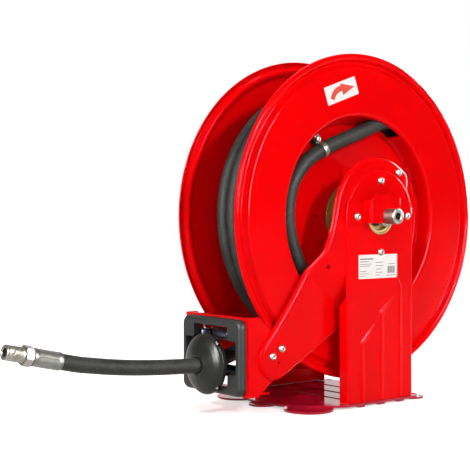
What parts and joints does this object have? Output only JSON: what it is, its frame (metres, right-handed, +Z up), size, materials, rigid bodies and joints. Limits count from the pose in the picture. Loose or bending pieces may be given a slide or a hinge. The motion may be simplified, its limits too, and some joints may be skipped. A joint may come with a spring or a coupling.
{
  "type": "spring rewind hose reel",
  "caption": "Open hose reel with two pressed red discs on a pedestal frame, a roller guide on twin arms, a wound black hose, a ball stopper and a side inlet.",
  "frame": {"origin": "on the floor plane under the axle, midway between the two discs, on the underside of the base plate's middle rib", "axes": "+Z up; +Y along the axle, from the inlet's side to the spring's side; the hose leaves towards -X"},
  "size_m": [0.8256, 0.2735, 0.535],
  "materials": {
    "red_enamel": "gloss red powder coat",
    "black_rubber": "matt black hose rubber",
    "black_plastic": "satin black moulding",
    "zinc_plate": "bright zinc plate",
    "yellow_zinc": "yellow zinc plate",
    "plain_steel": "oiled steel",
    "brass": "machined brass",
    "spring_steel": "blued spring steel"
  },
  "bodies": {
    "frame": {"base_plate": "red_enamel", "front_pedestal": "red_enamel", "rear_pedestal": "red_enamel", "front_guide_arm": "red_enamel", "rear_guide_arm": "red_enamel", "swivel_bracket": "red_enamel", "roller_box": "red_enamel", "hose_tail": "black_rubber", "stopper_front_half": "black_rubber", "stopper_rear_half": "black_rubber", "roller_bezel": "black_plastic", "arm_screw_front_upper": "zinc_plate", "arm_screw_front_lower": "zinc_plate", "arm_screw_front_ear": "zinc_plate", "arm_screw_rear_upper": "zinc_plate", "arm_screw_rear_lower": "zinc_plate", "bracket_screw_left": "zinc_plate", "bracket_screw_right": "zinc_plate", "guide_screw_front_upper": "zinc_plate", "guide_screw_front_lower": "zinc_plate", "guide_screw_rear_upper": "zinc_plate", "guide_screw_rear_lower": "zinc_plate", "inlet_spindle": "zinc_plate", "axle_nut": "zinc_plate", "pawl_pin": "zinc_plate", "hose_ferrule": "zinc_plate", "hose_fitting": "zinc_plate", "stopper_screw_upper": "zinc_plate", "stopper_screw_lower": "zinc_plate", "front_bearing": "yellow_zinc", "axle_arbor": "plain_steel", "roller_pin_upper": "plain_steel", "roller_pin_lower": "plain_steel", "roller_pin_front": "plain_steel", "roller_pin_rear": "plain_steel", "pawl_spring": "spring_steel"},
    "drum": {"front_disc": "red_enamel", "rear_disc": "red_enamel", "drum_core": "red_enamel", "hub_tube": "yellow_zinc", "hub_flange": "yellow_zinc", "swivel_body": "brass", "swivel_seal": "black_rubber", "outlet_elbow": "zinc_plate", "inner_ferrule": "zinc_plate", "rear_bearing": "yellow_zinc", "spring_case": "red_enamel", "spring_cover": "red_enamel", "main_spring": "spring_steel", "ratchet_wheel": "plain_steel", "hose_core": "black_rubber", "hose_winding": "black_rubber", "hose_inner_run": "black_rubber", "hose_clamp": "black_plastic", "clamp_screw": "zinc_plate"},
    "pawl": {"pawl": "plain_steel"},
    "roller_upper": {"roller_upper": "zinc_plate"},
    "roller_lower": {"roller_lower": "zinc_plate"},
    "roller_front": {"roller_front": "zinc_plate"},
    "roller_rear": {"roller_rear": "zinc_plate"}
  },
  "joints": [
    {"name": "drum_spin", "type": "hinge", "parent": "frame", "child": "drum", "pos_m": [0, 0, 0.285], "axis": [0, 1, 0], "continuous": true},
    {"name": "pawl_swing", "type": "hinge", "parent": "frame", "child": "pawl", "pos_m": [-0.052, 0.0889, 0.321], "axis": [0, 1, 0], "range_deg": [0, 11], "stiffness_Nm_per_rad": 0.05},
    {"name": "roller_upper_spin", "type": "hinge", "parent": "frame", "child": "roller_upper", "pos_m": [-0.201, 0, 0.1105], "axis": [0, 1, 0], "continuous": true},
    {"name": "roller_lower_spin", "type": "hinge", "parent": "frame", "child": "roller_lower", "pos_m": [-0.201, 0, 0.0565], "axis": [0, 1, 0], "continuous": true},
    {"name": "roller_front_spin", "type": "hinge", "parent": "frame", "child": "roller_front", "pos_m": [-0.2195, -0.045, 0.0835], "axis": [0, 0, 1], "continuous": true},
    {"name": "roller_rear_spin", "type": "hinge", "parent": "frame", "child": "roller_rear", "pos_m": [-0.2195, 0.045, 0.0835], "axis": [0, 0, 1], "continuous": true}
  ]
}
